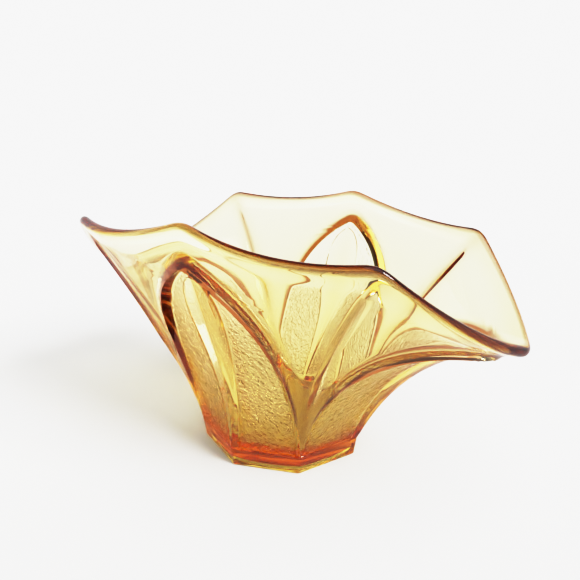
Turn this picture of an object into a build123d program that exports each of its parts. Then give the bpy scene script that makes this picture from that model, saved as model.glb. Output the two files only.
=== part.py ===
from build123d import *

import os
from math import cos, hypot, pi, radians, sin

# A pressed-glass candy dish: an octagonal foot, a flared eight-sided wall and a rim that
# droops at two wings, like a handkerchief. Four pointed leaves are sunk into the outside.
# Millimetres, +Z up, origin at the centre of the underside of the foot.
# +X runs to a wing, +Y to a side corner; the four shoulder corners lie between them.

# ---------------------------------------------------------------- driving dimensions
FOOT_RADIUS = 38.0  # half the width over opposite corners, at the underside
FOOT_TOP_RADIUS = 39.2
FOOT_HEIGHT = 8.5
FOOT_BEVEL = 1.0
HOLLOW_RADIUS = 30.0  # shallow hollow under the foot, inside the ground ring
HOLLOW_DEPTH = 1.5
FLOOR_HEIGHT = 9.5  # the inside floor, above the table

# The outside of the wall along each kind of corner: a cubic curve from the top of the foot
# to the rim, as (distance from the axis, height).
FOOT_TOP = (FOOT_TOP_RADIUS, FOOT_HEIGHT)
PROFILES = {
    "wing": [FOOT_TOP, (45.9, 21.0), (62.2, 58.5), (103.6, 64.7)],
    "shoulder": [FOOT_TOP, (42.9, 26.5), (60.3, 63.1), (87.0, 98.8)],
    "side": [FOOT_TOP, (36.4, 49.0), (64.5, 89.3), (62.2, 106.9)],
}
CORNERS = ["wing", "shoulder", "side", "shoulder"] * 2
CORNER_STEP = 360 / len(CORNERS)
SHOULDER_LEAN = 10.1  # degrees that a shoulder has turned towards its wing by the rim

# The rim is worked by hand while the glass is hot, so some of its corners stand a little in,
# up or down: corner number, then how far out and up it has moved at the rim.
RIM_SHIFT = {1: (-2.0, -3.7), 3: (0, 2.2), 5: (2.3, 1.8), 6: (0, 1.0), 7: (0, 0.6)}

WALL_AT_FOOT = 6.0
WALL_AT_RIM = 3.4
THIN_BY = 0.9  # share of the height over which the wall thins to its rim thickness
RIM_DROP = 4.0  # sag of the rim halfway between two corners
RIM_BULGE = 4.0  # outward bow of the rim halfway between two corners

LEAF_TOP = {"wing": 0.92, "side": 0.78}  # height of the leaf's point, as a share of the wall
LEAF_SPREAD = 0.97  # share of the facet that the leaf covers at the foot
LEAF_DEPTH_AT_FOOT = 0.7
LEAF_DEPTH_AT_POINT = 1.9
RIB_HEIGHT = 0.5
RIB_SHARE_AT_FOOT = 0.1  # half width of the midrib, as a share of half the leaf
RIB_SHARE_AT_POINT = 0.4
HOOD_HEIGHT = 1.5  # how far the lip stands proud round the leaf's point
HOOD_MARGIN = 0.07  # how far above the leaf's point the hood reaches, as a share of the wall
HOOD_START = 0.45
HOOD_FLAT = 0.7  # share of the hood's width that stands at its full height
HOOD_ROOT = 1.0  # how deep the hood is let into the wall
CUT_CLEARANCE = 6.0  # how far the leaf cutters stand out of the wall

WALL_LEVELS = [0, 0.15, 0.3, 0.45, 0.6, 0.75, 0.9, 1]
RIM_ANGLES = [0, 45, 90, 135, 180]
LEAF_STEPS = 8
POINT_GAP = 0.4  # how far short of a leaf's point its last outline stops, in steps


# ---------------------------------------------------------------- wall shape
def blend(start, end, share):
    return start + (end - start) * share


def profile_point(kind, level):
    """Point of the outer profile and its direction, as (radius, height) pairs."""
    rest = 1 - level
    weights = [rest**3, 3 * level * rest**2, 3 * level**2 * rest, level**3]
    pulls = [rest**2, 2 * level * rest, level**2]
    knots = PROFILES[kind]
    point = [sum(w * k[axis] for w, k in zip(weights, knots)) for axis in (0, 1)]
    along = [
        sum(w * (b[axis] - a[axis]) for w, a, b in zip(pulls, knots, knots[1:])) for axis in (0, 1)
    ]
    length = hypot(*along)
    return point, [value / length for value in along]


def wall_point(kind, level, depth):
    """Point this deep under the outside of the wall."""
    (radius, height), (out, up) = profile_point(kind, level)
    return radius - depth * up, height + depth * out


def inner_point(kind, level):
    """Point of the inside. It starts on the flat floor and joins the wall's own thickness."""
    thickness = blend(WALL_AT_FOOT, WALL_AT_RIM, min(1, level / THIN_BY))
    radius, height = wall_point(kind, level, thickness)
    floor_share = (1 - level) ** 8
    return radius, blend(height, FLOOR_HEIGHT, floor_share)


def rim_point(kind, angle):
    """Point of the half-round rim, from its outer edge at 0 to its inner edge at 180."""
    (radius, height), (out, up) = profile_point(kind, 1)
    half = WALL_AT_RIM / 2
    inwards = half * (1 - cos(radians(angle)))
    beyond = half * sin(radians(angle))
    return radius - inwards * up + beyond * out, height + inwards * out + beyond * up


def corner_position(index, level, radius_height):
    """Place a profile point at one of the eight corners."""
    lean = SHOULDER_LEAN * level**1.5
    towards_wing = {1: -lean, 3: lean, 5: -lean, 7: lean}.get(index % 8, 0)
    angle = radians(index * CORNER_STEP + towards_wing)
    shift_out, shift_up = RIM_SHIFT.get(index % 8, (0, 0))
    radius = radius_height[0] + shift_out * level**3
    height = radius_height[1] + shift_up * level**3
    return Vector(radius * cos(angle), radius * sin(angle), height)


def facet_handle(start, end, level):
    """Middle handle of the bowed line between two neighbouring corners."""
    chord = end - start
    outward = Vector(chord.Y, -chord.X, 0).normalized()
    bow = 2 * level**3
    return (start + end) * 0.5 + outward * (RIM_BULGE * bow) - Vector(0, 0, RIM_DROP * bow)


def ring(point_of_kind, level):
    """Closed wire of eight bowed lines through the corners at one level."""
    corners = [corner_position(i, level, point_of_kind(kind)) for i, kind in enumerate(CORNERS)]
    edges = []
    for start, end in zip(corners, corners[1:] + corners[:1]):
        edges.append(Edge.make_bezier(start, facet_handle(start, end, level), end))
    return Wire(edges)


def make_wall():
    outer = [ring(lambda kind, v=v: wall_point(kind, v, 0), v) for v in WALL_LEVELS]
    rim = [ring(lambda kind, a=a: rim_point(kind, a), 1) for a in RIM_ANGLES]
    inner = [ring(lambda kind, v=v: inner_point(kind, v), v) for v in reversed(WALL_LEVELS)]
    faces = [Face(outer[0]), Face(inner[-1])]
    for sections in (outer, rim, inner):
        faces += Shell.make_loft(sections).faces()
    return Solid(Shell(Face.sew_faces(faces)[0]))


# ---------------------------------------------------------------- foot
def octagon(radius, height):
    points = [corner_position(i, 0, (radius, height)) for i in range(len(CORNERS))]
    return Wire(Polyline(points, close=True).edges())


def make_foot():
    block = Solid.make_loft(
        [
            octagon(FOOT_RADIUS - FOOT_BEVEL, 0),
            octagon(FOOT_RADIUS, FOOT_BEVEL),
            octagon(FOOT_TOP_RADIUS, FOOT_HEIGHT),
        ],
        ruled=True,
    )
    return block - Cylinder(HOLLOW_RADIUS, 2 * HOLLOW_DEPTH)


# ---------------------------------------------------------------- leaves
def arch_half_width(level, top):
    """Half width of a pointed arch, as a share of the facet, at this share of the wall."""
    return max(0, 1 - (level / top) ** (1 / 0.6)) ** (1 / 1.6)


def facet_point(index, share, level, depth):
    """Point on the facets beside a corner: share -1 and 1 are the neighbouring corners."""
    neighbour = index + (1 if share >= 0 else -1)
    near = corner_position(index, level, wall_point(CORNERS[index], level, depth))
    far = corner_position(neighbour, level, wall_point("shoulder", level, depth))
    start, end = (near, far) if share >= 0 else (far, near)
    handle = facet_handle(start, end, level)
    share = abs(share)
    return near * (1 - share) ** 2 + handle * (2 * share * (1 - share)) + far * share**2


def outline(index, level, corners):
    """Points of a closed outline from (share, depth) pairs at one level of the wall."""
    return [facet_point(index, share, level, depth) for share, depth in corners]


def mirrored(right):
    """The left half of an outline whose right half starts and ends on the crease."""
    return [(-share, depth) for share, depth in reversed(right[1:-1])]


def fan(points):
    """Triangles that close an outline that bends round a corner and starts on its crease."""
    centre = (points[0] + points[len(points) // 2]) * 0.5
    pairs = zip(points, points[1:] + points[:1])
    return [Face(Wire(Polyline(start, end, centre, close=True).edges())) for start, end in pairs]


def stack(outlines):
    """Solid through a stack of outlines, closed by a fan at each end."""
    sides = Shell.make_loft([Wire(Polyline(points, close=True).edges()) for points in outlines])
    faces = sides.faces() + fan(outlines[0]) + fan(outlines[-1])
    return Solid(Shell(Face.sew_faces(faces)[0]))


def rising_shares():
    """Shares from 0 to almost 1 that crowd together where an arch narrows to its point."""
    return [1 - (1 - step / (LEAF_STEPS + POINT_GAP)) ** 2 for step in range(LEAF_STEPS + 1)]


def leaf_cutter(index):
    """Everything outside a leaf's sunk surface, with the midrib left standing."""
    top = LEAF_TOP[CORNERS[index]]
    outlines = []
    for share in rising_shares():
        level = top * share
        half = LEAF_SPREAD * arch_half_width(level, top)
        rib = half * blend(RIB_SHARE_AT_FOOT, RIB_SHARE_AT_POINT, share)
        depth = blend(LEAF_DEPTH_AT_FOOT, LEAF_DEPTH_AT_POINT, share)
        crest = depth - RIB_HEIGHT
        out = -CUT_CLEARANCE
        right = [(0, crest), (rib, crest), (rib, depth), (half, depth), (half, out), (0, out)]
        outlines.append(outline(index, level, right + mirrored(right)))
    return stack(outlines)


def make_hood(index):
    """Raised lip round the leaf's point: a pad a little larger than the leaf."""
    top = LEAF_TOP[CORNERS[index]] + HOOD_MARGIN
    outlines = []
    for share in rising_shares():
        level = blend(HOOD_START * top, top, share)
        half = arch_half_width(level, top)
        flat = HOOD_FLAT * half
        rise = HOOD_HEIGHT * sin(pi * share**2)
        right = [(0, -rise), (flat, -rise), (half, HOOD_ROOT), (0, HOOD_ROOT)]
        outlines.append(outline(index, level, right + mirrored(right)))
    return stack(outlines)


# ---------------------------------------------------------------- the dish
def make_dish():
    dish = make_wall() + make_foot()
    leaves = range(0, len(CORNERS), 2)
    for index in leaves:
        dish += make_hood(index)
    for index in leaves:
        dish -= leaf_cutter(index)
    return dish


os.makedirs("parts", exist_ok=True)
export_step(make_dish(), "parts/glass_dish.step")
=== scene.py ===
from math import cos, pi, radians, sin

import bpy
import numpy as np
from mathutils import Euler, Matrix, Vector, noise


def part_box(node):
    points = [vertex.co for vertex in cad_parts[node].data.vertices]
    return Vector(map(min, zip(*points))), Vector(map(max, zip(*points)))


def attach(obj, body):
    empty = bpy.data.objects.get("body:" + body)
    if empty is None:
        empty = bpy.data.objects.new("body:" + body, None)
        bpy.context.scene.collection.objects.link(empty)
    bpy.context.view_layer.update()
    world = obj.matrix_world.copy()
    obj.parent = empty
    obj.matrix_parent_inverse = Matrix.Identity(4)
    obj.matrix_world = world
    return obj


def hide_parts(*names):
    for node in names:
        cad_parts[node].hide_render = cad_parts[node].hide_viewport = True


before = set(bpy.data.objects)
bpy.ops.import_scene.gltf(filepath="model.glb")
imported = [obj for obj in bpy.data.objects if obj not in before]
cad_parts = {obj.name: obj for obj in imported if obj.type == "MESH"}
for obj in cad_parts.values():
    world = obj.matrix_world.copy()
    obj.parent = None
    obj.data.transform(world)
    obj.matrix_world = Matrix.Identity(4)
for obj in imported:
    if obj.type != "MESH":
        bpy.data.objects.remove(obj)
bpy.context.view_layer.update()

# The dish is one pressing of amber glass, so one closed mesh replaces its one CAD node.
# The mesh is a grid. Its rows run from the middle of the underside, up the outside of the
# wall, over the rim and down the inside to the middle of the floor. Its columns run round
# the eight facets, and crowd along the midribs and the edges of the leaves.
# Shape values are in millimetres; the finished grid is turned into metres.

NODE = "glass_dish"
MM = 0.001

# ---------------------------------------------------------------- driving dimensions
FOOT_RADIUS = 38.0
FOOT_TOP_RADIUS = 39.2
FOOT_HEIGHT = 8.5
FOOT_BEVEL = 1.0
HOLLOW_RADIUS = 30.0
HOLLOW_DEPTH = 1.5
HOLLOW_EDGE = 0.6
FLOOR_HEIGHT = 9.5
FOOT_TOP = (FOOT_TOP_RADIUS, FOOT_HEIGHT)
PROFILES = {
    "wing": [FOOT_TOP, (45.9, 21.0), (62.2, 58.5), (103.6, 64.7)],
    "shoulder": [FOOT_TOP, (42.9, 26.5), (60.3, 63.1), (87.0, 98.8)],
    "side": [FOOT_TOP, (36.4, 49.0), (64.5, 89.3), (62.2, 106.9)],
}
CORNERS = ["wing", "shoulder", "side", "shoulder"] * 2
CORNER_STEP = 360 / len(CORNERS)
SHOULDER_LEAN = 10.1  # degrees that a shoulder has turned towards its wing by the rim
LEAN_WAYS = {1: -1, 3: 1, 5: -1, 7: 1}
# How far out and up some corners have moved at the rim.
RIM_SHIFT = {1: (-2.0, -3.7), 3: (0, 2.2), 5: (2.3, 1.8), 6: (0, 1.0), 7: (0, 0.6)}

WALL_AT_FOOT = 6.0
WALL_AT_RIM = 3.4
BEAD = 0.65  # how much the fire-polished rim swells on each side
BEAD_LEVEL = 0.93  # where the swelling starts
THIN_BY = 0.9  # share of the height over which the wall thins to its rim thickness
RIM_DROP = 4.0  # sag of the rim halfway between two corners
RIM_BULGE = 4.0  # outward bow of the rim halfway between two corners
FILLET_LEVEL = 0.06  # where the inside wall starts to bend into the floor
FILLET_REACH = 5.0  # how far in over the floor that bend ends

CREASE_AT_FOOT = 0.6  # half width of the rounding of a corner outside, from foot to rim
CREASE_UNDER_RIM = 2.4
CREASE_AT_RIM = 4.5
INNER_CREASE = 11.0  # the same on the inside, near the floor

LEAF_TOP = {"wing": 0.92, "side": 0.78}  # height of the leaf's point, as a share of the wall
LEAF_SPREAD = 0.97  # share of the facet that the leaf covers at the foot
ARCH_RISE = 0.6  # powers of the pointed arch that bounds a leaf
ARCH_SPREAD = 1.6
LEAF_DEPTH_AT_FOOT = 0.6
LEAF_DEPTH_AT_POINT = 1.4
LEDGE_WIDTH = 1.1  # over which the surface drops from the lip into the leaf
LIP_HEIGHT = 2.8
LIP_WIDTH = 6.0
LIP_START = 0.2
FOOT_STEP = 0.7  # over which the leaf sinks just above the foot
RIB_HEIGHT = 0.7
RIB_SHARE = 0.08  # half width of the midrib at the foot, as a share of the facet
RIB_WIDENING = 0.25  # how much that share grows by the rim
RIB_TOP = 0.95  # height at which the midrib ends, as a share of the leaf
RIB_EDGE = 0.8
PEBBLE_HEIGHT = 0.5
PEBBLE_SIZE = 1.8
SEAM_HEIGHT = 1.1  # ridge down each shoulder corner, widest where the lips meet
SEAM_WIDTH = 2.6
SEAM_START = 0.3
# How far over the lip its painted shade reaches at the leaf's point.
PAINTED_SHADE_WIDTH = {"wing": 4.8, "side": 3.8}
SEAM_PAINTED_SHADE = 0.8  # how dark the painted shade is on the ridges, and more faintly beside them
CORNER_PAINTED_SHADE = 0.3
CORNER_REACH = 7.0
WAVE_HEIGHT = 0.07
WAVE_SIZE = 18.0

# Grid lines across half a leaf and its margin: the midrib ends at one, the leaf at the other.
RIB_LINE = 0.12
LEAF_LINE = 0.74
NARROWEST = 0.12
RIB_COLUMNS = 6
LEAF_COLUMNS = 36
MARGIN_COLUMNS = 13
WALL_ROWS = 160  # the mesh stays under 200 000 triangles
FOOT_CROWDING = 1.5  # how much closer these rows lie near the foot and at the leaves' points
POINT_CROWDING = 1.3
INSIDE_ROWS = 22
RIM_ROWS = 8
LARGEST_STRETCH = 1.03
SHARP_ANGLE = radians(50)


def blend(start, end, share):
    return start + (end - start) * share


def smooth(share):
    share = np.clip(share, 0, 1)
    return share * share * (3 - 2 * share)


def unit(vectors):
    return vectors / np.linalg.norm(vectors, axis=-1, keepdims=True)


def crowd(count, at_start, at_end):
    """Shares from 0 to 1 in this many steps, shorter at an end the larger its number is."""
    steps = np.linspace(0, 1, count + 1)
    size = 1 / (1 + at_start * np.exp(-9 * steps) + at_end * np.exp(-9 * (1 - steps)))
    places = np.concatenate([[0], np.cumsum(size[1:] + size[:-1])])
    return places / places[-1]


# ---------------------------------------------------------------- sections at the corners
def profile(kind, level):
    """Outer profile's points and directions, each as (radius, height)."""
    knots = np.array(PROFILES[kind])
    rest = 1 - level
    weights = np.array([rest**3, 3 * level * rest**2, 3 * level**2 * rest, level**3])
    pulls = np.array([rest**2, 2 * level * rest, level**2])
    return weights.T @ knots, unit(pulls.T @ np.diff(knots, axis=0))


def wall_section(kind, level, depth):
    point, along = profile(kind, level)
    return point + np.stack([-along[:, 1], along[:, 0]], -1) * np.reshape(depth, (-1, 1))


def bead(level):
    """How far the swelling of the rim stands out at this level."""
    return BEAD * smooth((level - BEAD_LEVEL) / (1 - BEAD_LEVEL))


def inner_section(kind, level):
    thickness = blend(WALL_AT_FOOT, WALL_AT_RIM, np.minimum(1, level / THIN_BY))
    points = wall_section(kind, level, thickness + bead(level))
    points[:, 1] = blend(points[:, 1], FLOOR_HEIGHT, (1 - level) ** 8)
    return points


def rim_section(kind, angle):
    point, along = profile(kind, np.ones(1))
    across = np.stack([-along[:, 1], along[:, 0]], -1)
    middle = point + WALL_AT_RIM / 2 * across
    radius = WALL_AT_RIM / 2 + BEAD
    return middle + radius * (np.outer(np.sin(angle), along) - np.outer(np.cos(angle), across))


def fillet_section(kind, share):
    """Bend from the inside wall down to the floor."""
    start = inner_section(kind, np.array([FILLET_LEVEL]))
    turn = inner_section(kind, np.zeros(1))
    end = turn - np.array([[FILLET_REACH, 0]])
    share = share[:, None]
    return start * (1 - share) ** 2 + turn * 2 * share * (1 - share) + end * share**2


def leaf_edge(kind, level):
    """Half width of the leaf at this level, as a share of the facet."""
    rise = np.clip(level / LEAF_TOP[kind], 0, 1)
    return LEAF_SPREAD * (1 - rise ** (1 / ARCH_RISE)) ** (1 / ARCH_SPREAD)


def rib_edge(kind, level):
    """Half width of the midrib at this level, as a share of the facet."""
    rise = np.clip(level / (RIB_TOP * LEAF_TOP[kind]), 0, 1)
    return (RIB_SHARE + RIB_WIDENING * level) * np.sqrt(1 - rise**4)


class Band:
    """Rows that follow each other: their place at each kind of corner, and how they run round."""

    def __init__(self, section, level, crease, edge=None, rib=None, roundness=0.0):
        count = len(level)
        self.level = level
        self.sections = {kind: section(kind) for kind in PROFILES}
        self.crease = np.broadcast_to(crease, count)
        self.roundness = np.broadcast_to(roundness, count)
        even = {kind: np.full(count, LEAF_LINE) for kind in LEAF_TOP}
        self.edge = edge or even
        self.rib = rib or {kind: self.edge[kind] * RIB_LINE / LEAF_LINE for kind in LEAF_TOP}


def fixed(points):
    """A section that is the same at every corner."""
    return lambda kind: np.array(points, float)


def underside_band():
    """Middle of the underside, out over the hollow and the ground ring, up the foot."""
    points = [(radius, HOLLOW_DEPTH) for radius in (3, 20, HOLLOW_RADIUS - 0.4)]
    points += [(HOLLOW_RADIUS - 0.1, HOLLOW_DEPTH - 0.05), (HOLLOW_RADIUS, HOLLOW_DEPTH - 0.3)]
    points += [(HOLLOW_RADIUS, HOLLOW_EDGE), (HOLLOW_RADIUS + 0.2, 0.15)]
    points += [(HOLLOW_RADIUS + HOLLOW_EDGE, 0)]
    circles = len(points)
    points += [(HOLLOW_RADIUS + 3, 0), (FOOT_RADIUS - 1.6, 0)]
    for turn in np.linspace(0, pi / 2, 5):
        points.append((FOOT_RADIUS - FOOT_BEVEL * (1 - sin(turn)), FOOT_BEVEL * (1 - cos(turn))))
    for share in (0.06, 0.25, 0.5, 0.75, 0.93, 0.98):
        radius = blend(FOOT_RADIUS, FOOT_TOP_RADIUS, share)
        points.append((radius, blend(FOOT_BEVEL, FOOT_HEIGHT, share)))
    count = len(points)
    roundness = np.zeros(count)
    roundness[:circles] = 1
    roundness[circles] = 0.4
    spread = blend(LEAF_LINE, LEAF_SPREAD, smooth(np.arange(count) / circles))
    edge = {kind: spread for kind in LEAF_TOP}
    rib_share = rib_edge("side", np.zeros(1))[0]
    rib = {kind: spread * rib_share for kind in LEAF_TOP}
    return Band(fixed(points), np.zeros(count), CREASE_AT_FOOT, edge, rib, roundness)


def outer_crease(level):
    under_rim = blend(CREASE_AT_FOOT, CREASE_UNDER_RIM, level)
    return blend(under_rim, CREASE_AT_RIM, smooth((level - 0.85) / 0.15))


def wall_levels():
    """Levels of the outside rows, closer together near the foot and at the leaves' points."""
    fine = np.linspace(0, 1, 2001)
    density = 1 + FOOT_CROWDING * np.exp(-12 * fine)
    for top in LEAF_TOP.values():
        from_point = (fine - top + 0.02) / 0.04
        density = density + POINT_CROWDING * np.exp(-(from_point**2))
    places = np.concatenate([[0], np.cumsum(density[1:] + density[:-1])])
    return np.interp(np.linspace(0, places[-1], WALL_ROWS + 1), places, fine)


def outside_band():
    level = wall_levels()
    edge, rib = {}, {}
    for kind, top in LEAF_TOP.items():
        above = smooth((level - top) / (1 - top))
        edge[kind] = np.where(
            level < top,
            np.maximum(leaf_edge(kind, level), NARROWEST),
            blend(NARROWEST, LEAF_LINE, above),
        )
        least = edge[kind] * blend(0.05, RIB_LINE / LEAF_LINE, smooth(level / top * 2))
        rib[kind] = np.maximum(np.minimum(rib_edge(kind, level), edge[kind] * 0.6), least)
        rib[kind] = np.where(level < top, rib[kind], edge[kind] * RIB_LINE / LEAF_LINE)
    swelling = -bead(level)
    crease = outer_crease(level)
    return Band(lambda kind: wall_section(kind, level, swelling), level, crease, edge, rib)


def rim_angles():
    return np.linspace(0, pi, RIM_ROWS + 2)[1:-1]


def rim_band():
    angle = rim_angles()
    return Band(lambda kind: rim_section(kind, angle), np.ones(RIM_ROWS), CREASE_AT_RIM)


def inside_band():
    level = blend(1, FILLET_LEVEL, crowd(INSIDE_ROWS, 5, 1))
    crease = blend(INNER_CREASE, CREASE_AT_RIM, level**8)
    return Band(lambda kind: inner_section(kind, level), level, crease)


def floor_band():
    share = np.linspace(0, 1, 9)[1:]
    level = FILLET_LEVEL * (1 - share) ** 2
    bend = Band(lambda kind: fillet_section(kind, share), level, INNER_CREASE)
    edge_radius = fillet_section("side", np.ones(1))[0, 0]
    points = [(edge_radius * step, FLOOR_HEIGHT) for step in (0.75, 0.5, 0.25, 0.06)]
    return bend, Band(fixed(points), np.zeros(len(points)), INNER_CREASE)


# ---------------------------------------------------------------- grid
class Bones:
    """Corner points of every row, and the handles that bow each row between them."""

    def __init__(self, band):
        level = band.level
        self.crease = band.crease
        corners = []
        for index, kind in enumerate(CORNERS):
            lean = SHOULDER_LEAN * level**1.5 * LEAN_WAYS.get(index, 0)
            angle = np.radians(index * CORNER_STEP + lean)
            shift_out, shift_up = RIM_SHIFT.get(index, (0, 0))
            radius = band.sections[kind][:, 0] + shift_out * level**3
            height = band.sections[kind][:, 1] + shift_up * level**3
            corners.append(np.stack([radius * np.cos(angle), radius * np.sin(angle), height], -1))
        self.corners = np.array(corners)
        self.ends = np.roll(self.corners, -1, axis=0)
        chord = self.ends - self.corners
        outward = unit(np.stack([chord[..., 1], -chord[..., 0], 0 * chord[..., 2]], -1))
        bow = 2 * level[:, None] ** 3
        drop = np.array([0, 0, RIM_DROP]) * bow
        self.handles = (self.corners + self.ends) / 2 + outward * RIM_BULGE * bow - drop
        ahead = unit(self.handles - self.corners)
        behind = unit(np.roll(self.handles, 1, axis=0) - self.corners)
        self.pulls = (ahead + behind) / 2
        self.width = np.linalg.norm(chord, axis=-1)

    def place(self, sector, share):
        """Points along a sector's rows at these shares of the way from its first corner."""
        after = (sector + 1) % len(CORNERS)
        near, far = self.corners[sector][:, None], self.corners[after][:, None]
        handle = self.handles[sector][:, None]
        part = share[..., None]
        points = near * (1 - part) ** 2 + handle * 2 * part * (1 - part) + far * part**2
        width = self.width[sector][:, None]
        crease = np.minimum(self.crease[:, None], 0.45 * width)
        for corner, gap in ((sector, share * width), (after, (1 - share) * width)):
            cut = np.clip(crease - gap, 0, None) ** 2 / (2 * crease)
            points = points + self.pulls[corner][:, None] * cut[..., None]
        return points


HALF_LINES = np.concatenate(
    [
        RIB_LINE * crowd(RIB_COLUMNS, 0, 1)[:-1],
        blend(RIB_LINE, LEAF_LINE, crowd(LEAF_COLUMNS, 1, 4))[:-1],
        blend(LEAF_LINE, 1, crowd(MARGIN_COLUMNS, 5, 2)),
    ]
)


def leaf_of(sector):
    """Corner that the leaf of this sector is centred on."""
    return sector if sector % 2 == 0 else (sector + 1) % len(CORNERS)


def column_shares(band, sector):
    """Shares from the leaf's corner at which the columns of a sector cross each row."""
    kind = CORNERS[leaf_of(sector)]
    lines = HALF_LINES[:-1] if sector % 2 == 0 else HALF_LINES[:0:-1]
    rib, edge = band.rib[kind][:, None], band.edge[kind][:, None]
    in_rib = lines / RIB_LINE * rib
    in_leaf = blend(rib, edge, (lines - RIB_LINE) / (LEAF_LINE - RIB_LINE))
    in_margin = blend(edge, 1, (lines - LEAF_LINE) / (1 - LEAF_LINE))
    return np.where(lines < RIB_LINE, in_rib, np.where(lines < LEAF_LINE, in_leaf, in_margin))


def from_first_corner(sector, share):
    return share if sector % 2 == 0 else 1 - share


def lay_out(band):
    """Grid of points of one band, round all eight sectors."""
    bones = Bones(band)
    parts = []
    for sector in range(len(CORNERS)):
        share = column_shares(band, sector)
        parts.append(bones.place(sector, from_first_corner(sector, share)))
    grid = np.concatenate(parts, axis=1)
    flat = grid[..., :2]
    on_circle = unit(flat) * band.sections["wing"][:, None, :1]
    grid[..., :2] = blend(flat, on_circle, band.roundness[:, None, None])
    return grid


def normals(grid):
    """Directions out of the glass at every point of a grid."""
    across = np.roll(grid, -1, axis=1) - np.roll(grid, 1, axis=1)
    along = np.gradient(grid, axis=0)
    return unit(np.cross(across, along))


# ---------------------------------------------------------------- relief
def gap_to_line(points, line):
    """Distance of each point to a line through many points, and where on it that is."""
    start, step = line[:-1], np.diff(line, axis=0)
    flat = points.reshape(-1, 1, 3)
    share = np.clip(((flat - start) * step).sum(-1) / (step * step).sum(-1), 0, 1)
    gaps = np.linalg.norm(flat - start - step * share[..., None], axis=-1)
    nearest = gaps.argmin(axis=1)
    rows = np.arange(len(flat))
    place = nearest + share[rows, nearest]
    return gaps[rows, nearest].reshape(points.shape[:2]), place.reshape(points.shape[:2])


def leaf_outline(sector, kind, steps=150):
    """Line of the leaf's edge over one sector, and the level at each of its points."""
    level = LEAF_TOP[kind] * (1 - (1 - np.linspace(0, 1, steps)) ** 2)
    bones = Bones(Band(lambda name: wall_section(name, level, 0), level, outer_crease(level)))
    share = from_first_corner(sector, leaf_edge(kind, level)[:, None])
    return bones.place(sector, share)[:, 0], level


def pebbles(points):
    """Height of the pebbled pattern, from 0 to 1, at each point."""
    heights = []
    for point in points.reshape(-1, 3) / PEBBLE_SIZE:
        heights.append(1 - noise.voronoi(Vector(point))[0][0])
    return smooth(np.array(heights).reshape(points.shape[:-1]))


def sector_relief(band, sector, points):
    """Relief of one sector of the outside: its height, how pebbled and how much painted shade it
    gets.
    """
    kind = CORNERS[leaf_of(sector)]
    top = LEAF_TOP[kind]
    level = band.level[:, None]
    share = column_shares(band, sector)
    line, line_level = leaf_outline(sector, kind)
    gap, place = gap_to_line(points, line)
    rise = np.interp(place, np.arange(len(line)), line_level) / top
    inside = (share < leaf_edge(kind, level)) & (level < top)
    gap = np.where(inside, -gap, gap)
    steps = np.diff(points, axis=0, prepend=points[:1])
    climb = np.cumsum(np.linalg.norm(steps, axis=-1), axis=0)

    above_foot = smooth(climb / FOOT_STEP)
    depth = blend(LEAF_DEPTH_AT_FOOT, LEAF_DEPTH_AT_POINT, np.clip(level / top, 0, 1))
    depth = depth * above_foot
    lip = LIP_HEIGHT * smooth((rise - LIP_START) / (0.97 - LIP_START))
    fall = np.clip((gap - LEDGE_WIDTH) / LIP_WIDTH, 0, 1)
    lip = lip * (1 - blend(fall, smooth(fall), 0.3))
    rim_fade = 1 - smooth((level - 0.9) / 0.09)
    ledge = smooth(gap / LEDGE_WIDTH)

    width = np.linalg.norm(points[:, -1] - points[:, 0], axis=-1)[:, None]
    rib_width = rib_edge(kind, level) * width
    from_edge = rib_width - share * width
    roof = blend(0.4, 1, np.clip(from_edge / np.maximum(rib_width, 0.01), 0, 1))
    rib = RIB_HEIGHT * roof * smooth(from_edge / RIB_EDGE + 0.5) * smooth(rib_width / 2.5)
    rib = rib * above_foot

    from_seam = (1 - share) * width
    seam_width = SEAM_WIDTH * blend(1, 0.25, np.clip(level, 0, 1))
    seam = SEAM_HEIGHT * (1 - smooth(from_seam / seam_width)) * smooth((level - SEAM_START) / 0.25)

    relief = (blend(rib - depth, lip, ledge) + seam * ledge) * rim_fade
    pebbled = smooth((-gap - 0.7) / 1.2) * smooth((-from_edge - 0.4) / 1.0)
    pebbled = pebbled * smooth(climb / 0.8 - 0.3)
    pebbled = pebbled * (1 - 0.75 * smooth((level / top - 0.55) / 0.3))
    # Painted shade: a dark tint over the ledge and the lip towards the leaf's point, along the
    # seam ridges and faintly beside the shoulder corners.
    reach = PAINTED_SHADE_WIDTH[kind] * np.clip((rise - LIP_START) / (1 - LIP_START), 0, 1) ** 0.7
    on_ledge = smooth(gap / 0.5 + 0.5) * (1 - smooth((gap - reach) / LEDGE_WIDTH))
    painted_shade = on_ledge * smooth((rise - LIP_START) / 0.2)
    painted_shade = np.maximum(painted_shade, SEAM_PAINTED_SHADE * seam / SEAM_HEIGHT) * rim_fade
    corner = CORNER_PAINTED_SHADE * (1 - smooth(from_seam / CORNER_REACH)) * smooth(level / 0.2) * ledge
    painted_shade = np.maximum(painted_shade, corner)
    return relief, pebbled, painted_shade


def dress_outside(band, grid):
    """Raise and sink the outside of the wall; also returns its pebbled places and its painted
    shade.
    """
    count = grid.shape[1] // len(CORNERS)
    sectors = []
    for sector in range(len(CORNERS)):
        points = grid[:, sector * count : (sector + 1) * count]
        sectors.append(sector_relief(band, sector, points))
    relief, pebbled, painted_shade = (np.concatenate(parts, axis=1) for parts in zip(*sectors))
    relief = relief + PEBBLE_HEIGHT * pebbled * pebbles(grid)
    return grid + normals(grid) * relief[..., None], pebbled, painted_shade


def wave(grid):
    """Let the fire-polished inside run in slight, slow waves."""
    heights = [noise.noise(Vector(point)) for point in grid.reshape(-1, 3) / WAVE_SIZE]
    return grid + normals(grid) * WAVE_HEIGHT * np.array(heights).reshape(grid.shape[:2] + (1,))


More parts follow.
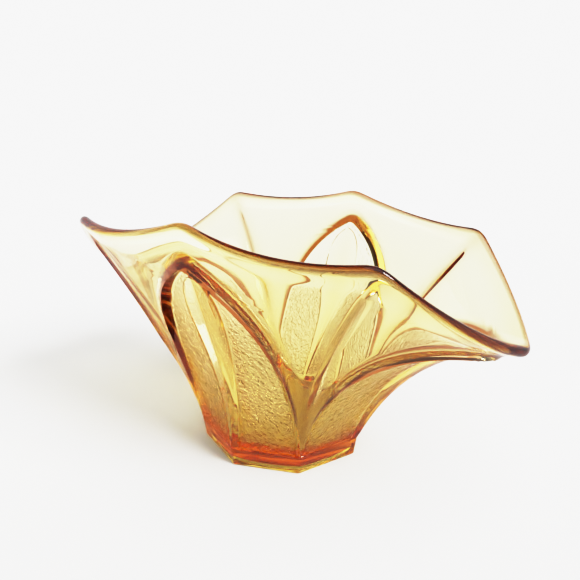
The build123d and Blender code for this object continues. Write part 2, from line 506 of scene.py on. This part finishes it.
# ---------------------------------------------------------------- the mesh
def faces_of(rows, columns):
    """Quads between the rows, and a fan of triangles at each end."""
    row, column = np.meshgrid(np.arange(rows - 1), np.arange(columns), indexing="ij")
    after = (column + 1) % columns
    this_row = row * columns
    next_row = this_row + columns
    quads = [this_row + column, this_row + after, next_row + after, next_row + column]
    faces = np.stack(quads, axis=-1).reshape(-1, 4).tolist()
    first_centre, last_centre = rows * columns, rows * columns + 1
    last_row = (rows - 1) * columns
    for step in range(columns):
        following = (step + 1) % columns
        faces.append((first_centre, following, step))
        faces.append((last_centre, last_row + step, last_row + following))
    return faces


def fit_to(points, low, high):
    """Scale the points slightly about the origin, to the size of the CAD part's own box."""
    size = points.max(axis=0) - points.min(axis=0)
    scale = (high - low) / size
    scale[:2] = np.minimum(scale[:2], LARGEST_STRETCH)
    return points * scale


def make_dish():
    """The closed mesh. Its bands are the underside, outside, rim, inside, bend and floor."""
    bands = [underside_band(), outside_band(), rim_band(), inside_band(), *floor_band()]
    grids = [lay_out(band) for band in bands]
    pebbled = [np.zeros(grid.shape[:2]) for grid in grids]
    painted_shade = [np.zeros(grid.shape[:2]) for grid in grids]
    # Painted shade along the rim, darkest at its top.
    painted_shade[2] += np.sqrt(np.sin(rim_angles()))[:, None]
    grids[1], pebbled[1], painted_shade[1] = dress_outside(bands[1], grids[1])
    grids[3] = wave(grids[3])
    grid = np.concatenate(grids)
    rows, columns = grid.shape[:2]
    centres = [[0, 0, HOLLOW_DEPTH], [0, 0, FLOOR_HEIGHT]]
    low, high = (np.array(corner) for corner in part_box(NODE))
    points = fit_to(np.concatenate([grid.reshape(-1, 3), centres]) * MM, low, high)

    mesh = bpy.data.meshes.new("pressed_dish")
    mesh.from_pydata(points.tolist(), [], faces_of(rows, columns))
    for name, parts in (("pebble", pebbled), ("painted_shade", painted_shade)):
        values = np.append(np.concatenate(parts).ravel(), [0, 0])
        mesh.attributes.new(name, "FLOAT", "POINT").data.foreach_set("value", values)
    mesh.polygons.foreach_set("use_smooth", [True] * len(mesh.polygons))
    mesh.set_sharp_from_angle(angle=SHARP_ANGLE)
    mesh.validate()
    mesh.update()
    dish = bpy.data.objects.new("pressed_dish", mesh)
    bpy.context.scene.collection.objects.link(dish)
    return dish


# ---------------------------------------------------------------- materials
GLASS_INDEX = 1.51
# The light lost in a metre of glass is the density times one less the colour.
ABSORB_DENSITY = 150.0
ABSORB_COLOR = (0.945, 0.80, 0.15, 1.0)
# Painted shade: a dark surface tint of the lips, the rim and the shoulder corners.
# It stands in for the colour that the real glass gathers over long paths inside it.
PAINTED_SHADE_TINT = (0.16, 0.025, 0.004, 1.0)
PALE_TINTS = ((0.985, 1.0, 0.975, 1), (0.98, 0.99, 0.94, 1))  # faint streaks of the glass
STIPPLE_SCALE = 700.0
GRIT_SCALE = 1600.0
STIPPLE_DEPTH = 0.0009
STIPPLE_ROUGHNESS = 0.12
PAINT_TONES = ((0.80, 0.80, 0.80, 1), (0.83, 0.83, 0.825, 1))


class Nodes:
    """A material's node tree, with short calls to add and link nodes."""

    def __init__(self, tree):
        self.tree = tree
        self.tree.nodes.clear()

    def add(self, kind, settings=None, **inputs):
        node = self.tree.nodes.new(kind)
        for name, value in (settings or {}).items():
            setattr(node, name, value)
        for name, value in inputs.items():
            socket = node.inputs[name.replace("_", " ")]
            if isinstance(value, bpy.types.NodeSocket):
                self.tree.links.new(value, socket)
            else:
                socket.default_value = value
        return node

    def link(self, output, node, name):
        self.tree.links.new(output, node.inputs[name])


def amber_glass():
    """Amber glass: clear and fire polished, but finely pebbled inside the leaves."""
    material = bpy.data.materials.new("amber_glass")
    material.use_nodes = True
    nodes = Nodes(material.node_tree)
    place = nodes.add("ShaderNodeTexCoord").outputs["Object"]
    pebble = nodes.add("ShaderNodeAttribute", {"attribute_name": "pebble"}).outputs["Fac"]

    soft = {"feature": "SMOOTH_F1"}
    stipple = nodes.add("ShaderNodeTexVoronoi", soft, Vector=place, Scale=STIPPLE_SCALE)
    grit = nodes.add("ShaderNodeTexNoise", Vector=place, Scale=GRIT_SCALE, Detail=2.0)
    rough = nodes.add("ShaderNodeMath", {"operation": "ADD"})
    nodes.link(stipple.outputs["Distance"], rough, 0)
    nodes.link(grit.outputs["Fac"], rough, 1)
    bumps = nodes.add("ShaderNodeMath", {"operation": "MULTIPLY"})
    nodes.link(rough.outputs[0], bumps, 0)
    nodes.link(pebble, bumps, 1)
    height = bumps.outputs[0]
    bump = nodes.add("ShaderNodeBump", Strength=1.0, Distance=STIPPLE_DEPTH, Height=height)

    streaks = nodes.add("ShaderNodeTexNoise", Vector=place, Scale=14.0, Detail=3.0)
    tint = nodes.add("ShaderNodeMix", {"data_type": "RGBA"})
    nodes.link(streaks.outputs["Fac"], tint, "Factor")
    tint.inputs["A"].default_value = PALE_TINTS[0]
    tint.inputs["B"].default_value = PALE_TINTS[1]
    # Painted shade: the lips, rim and corners are mixed towards the dark tint by their mask.
    painted_shade = nodes.add("ShaderNodeAttribute", {"attribute_name": "painted_shade"}).outputs["Fac"]
    painted_shade_mix = nodes.add("ShaderNodeMix", {"data_type": "RGBA"})
    nodes.link(painted_shade, painted_shade_mix, "Factor")
    nodes.link(tint.outputs["Result"], painted_shade_mix, "A")
    painted_shade_mix.inputs["B"].default_value = PAINTED_SHADE_TINT

    polish = nodes.add("ShaderNodeMapRange")
    nodes.link(pebble, polish, "Value")
    polish.inputs["To Min"].default_value = 0.0
    polish.inputs["To Max"].default_value = STIPPLE_ROUGHNESS

    glass = nodes.add("ShaderNodeBsdfPrincipled", IOR=GLASS_INDEX, Transmission_Weight=1.0)
    nodes.link(painted_shade_mix.outputs["Result"], glass, "Base Color")
    nodes.link(polish.outputs["Result"], glass, "Roughness")
    nodes.link(bump.outputs["Normal"], glass, "Normal")
    body = nodes.add("ShaderNodeVolumeAbsorption", Color=ABSORB_COLOR, Density=ABSORB_DENSITY)
    output = nodes.add("ShaderNodeOutputMaterial")
    nodes.link(glass.outputs["BSDF"], output, "Surface")
    nodes.link(body.outputs["Volume"], output, "Volume")
    return material


def studio_paint():
    """Matt white paint of the table and the wall behind it, with a faint mottle."""
    material = bpy.data.materials.new("studio_paint")
    material.use_nodes = True
    nodes = Nodes(material.node_tree)
    place = nodes.add("ShaderNodeTexCoord").outputs["Object"]
    mottle = nodes.add("ShaderNodeTexNoise", Vector=place, Scale=9.0, Detail=4.0)
    shade = nodes.add("ShaderNodeMix", {"data_type": "RGBA"})
    nodes.link(mottle.outputs["Fac"], shade, "Factor")
    shade.inputs["A"].default_value = PAINT_TONES[0]
    shade.inputs["B"].default_value = PAINT_TONES[1]
    paint = nodes.add("ShaderNodeBsdfPrincipled", Roughness=0.85)
    nodes.link(shade.outputs["Result"], paint, "Base Color")
    output = nodes.add("ShaderNodeOutputMaterial")
    nodes.link(paint.outputs["BSDF"], output, "Surface")
    return material


# ---------------------------------------------------------------- studio
CAMERA_PLACE = (0.1419, -0.1914, 0.1435)
CAMERA_PITCH = radians(17.14)
CAMERA_HEADING = radians(36.0)
CAMERA_LENS = 34.44
SWEEP_FRONT = 2.5
SWEEP_BACK = 1.2
SWEEP_HALF = 3.0
SWEEP_BEND = 0.6
SWEEP_HEIGHT = 2.0
# Tone curve, as (light, shown).
TONES = [(0, 0), (0.1, 0.08), (0.3, 0.41), (0.5, 0.72), (0.7, 0.86), (0.9, 0.91)]
TONES += [(1.2, 0.95), (1.6, 0.97)]
WHITE = (1.0, 1.0, 1.0)
CEILING = (0.2, 0.2, 0.2)
WALL_TOP = 0.2  # upward parts of a direction between which the white walls turn into ceiling
CEILING_START = 0.5
CAMERA_SIDE = 0.4  # how bright the ceiling on the camera's side is, as a share of the rest
SKY_STRENGTH = 1.05
BOUNCES = 72  # light runs far inside the thick glass before it leaves
CLEARANCE = 0.00005  # keeps the floor's face and the foot's face apart


def make_camera():
    data = bpy.data.cameras.new("camera")
    data.sensor_width = 36.0
    data.lens = CAMERA_LENS
    camera = bpy.data.objects.new("camera", data)
    camera.location = CAMERA_PLACE
    camera.rotation_euler = Euler((pi / 2 - CAMERA_PITCH, 0, CAMERA_HEADING))
    bpy.context.scene.collection.objects.link(camera)
    bpy.context.scene.camera = camera


def make_sweep():
    """Pale floor that curves up into a wall far behind the dish, square to the camera."""
    section = [(-SWEEP_FRONT, -CLEARANCE), (SWEEP_BACK, -CLEARANCE)]
    for turn in np.linspace(0, pi / 2, 17)[1:]:
        rise = SWEEP_BEND * (1 - cos(turn)) - CLEARANCE
        section.append((SWEEP_BACK + SWEEP_BEND * sin(turn), rise))
    section.append((SWEEP_BACK + SWEEP_BEND, SWEEP_HEIGHT))
    points = [(side * SWEEP_HALF, back, height) for side in (-1, 1) for back, height in section]
    count = len(section)
    faces = [(i, i + count, i + count + 1, i + 1) for i in range(count - 1)]
    mesh = bpy.data.meshes.new("sweep")
    mesh.from_pydata(points, [], faces)
    mesh.polygons.foreach_set("use_smooth", [True] * len(mesh.polygons))
    mesh.materials.append(studio_paint())
    sweep = bpy.data.objects.new("sweep", mesh)
    sweep.rotation_euler = Euler((0, 0, CAMERA_HEADING))
    bpy.context.scene.collection.objects.link(sweep)


def window_light(name, azimuth, elevation, spread, strength):
    """Broad, even light from far off in this direction, counted from the camera's right."""
    data = bpy.data.lights.new(name, "SUN")
    data.angle = radians(spread)
    data.energy = strength
    data.color = WHITE
    light = bpy.data.objects.new(name, data)
    turn = CAMERA_HEADING + radians(azimuth)
    rise = radians(elevation)
    toward = Vector((cos(turn) * cos(rise), sin(turn) * cos(rise), sin(rise)))
    light.rotation_euler = toward.to_track_quat("Z", "Y").to_euler()
    bpy.context.scene.collection.objects.link(light)


def make_world():
    """White walls all round, under a ceiling that is darker, most of all towards the camera."""
    world = bpy.data.worlds.new("studio")
    bpy.context.scene.world = world
    world.use_nodes = True
    nodes = Nodes(world.node_tree)
    ray = nodes.add("ShaderNodeTexCoord").outputs["Generated"]
    upright = {"rotation_type": "Z_AXIS"}
    turned = nodes.add("ShaderNodeVectorRotate", upright, Vector=ray, Angle=-CAMERA_HEADING)
    way = nodes.add("ShaderNodeSeparateXYZ", Vector=turned.outputs["Vector"])
    ramp = nodes.add("ShaderNodeValToRGB", Fac=way.outputs["Z"])
    ramp.color_ramp.elements[0].position = WALL_TOP
    ramp.color_ramp.elements[0].color = (*WHITE, 1)
    ramp.color_ramp.elements[1].position = CEILING_START
    ramp.color_ramp.elements[1].color = (*CEILING, 1)
    side = nodes.add("ShaderNodeMapRange", Value=way.outputs["Y"])
    side.inputs["From Min"].default_value = -0.3
    side.inputs["From Max"].default_value = 0.3
    side.inputs["To Min"].default_value = CAMERA_SIDE
    side.inputs["To Max"].default_value = 1.0
    above = nodes.add("ShaderNodeMapRange", Value=way.outputs["Z"])
    above.inputs["From Min"].default_value = 0.15
    above.inputs["From Max"].default_value = 0.35
    shade = nodes.add("ShaderNodeMix", {"data_type": "FLOAT"}, Factor=above.outputs["Result"])
    shade.inputs["A"].default_value = 1.0
    nodes.link(side.outputs["Result"], shade, "B")
    dim = nodes.add("ShaderNodeMix", {"data_type": "RGBA", "blend_type": "MULTIPLY"}, Factor=1.0)
    nodes.link(ramp.outputs["Color"], dim, "A")
    nodes.link(shade.outputs["Result"], dim, "B")
    sky = nodes.add("ShaderNodeBackground", Color=dim.outputs["Result"], Strength=SKY_STRENGTH)
    output = nodes.add("ShaderNodeOutputWorld")
    nodes.link(sky.outputs["Background"], output, "Surface")


def set_tones(view):
    """Tone curve of a bright product shot: firm shadows, and white that levels off gently."""
    view.use_curve_mapping = True
    curves = view.curve_mapping
    curves.use_clip = False
    curves.extend = "HORIZONTAL"
    curve = curves.curves[3]
    curve.points[0].location = TONES[0]
    curve.points[1].location = TONES[-1]
    for light, shown in TONES[1:-1]:
        curve.points.new(light, shown)
    curves.update()


def make_studio():
    make_camera()
    make_sweep()
    make_world()
    window_light("key", azimuth=-35, elevation=34, spread=26, strength=2.9)
    window_light("top", azimuth=-60, elevation=66, spread=60, strength=1.1)
    scene = bpy.context.scene
    scene.view_settings.view_transform = "Standard"
    set_tones(scene.view_settings)
    scene.cycles.sample_clamp_indirect = 20
    scene.cycles.max_bounces = BOUNCES
    scene.cycles.transmission_bounces = BOUNCES
    scene.cycles.glossy_bounces = BOUNCES
    scene.cycles.transparent_max_bounces = 16
    scene.cycles.caustics_refractive = True
    scene.cycles.caustics_reflective = True


make_studio()
dish = make_dish()
dish.data.materials.append(amber_glass())
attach(dish, "root")
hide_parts(NODE)
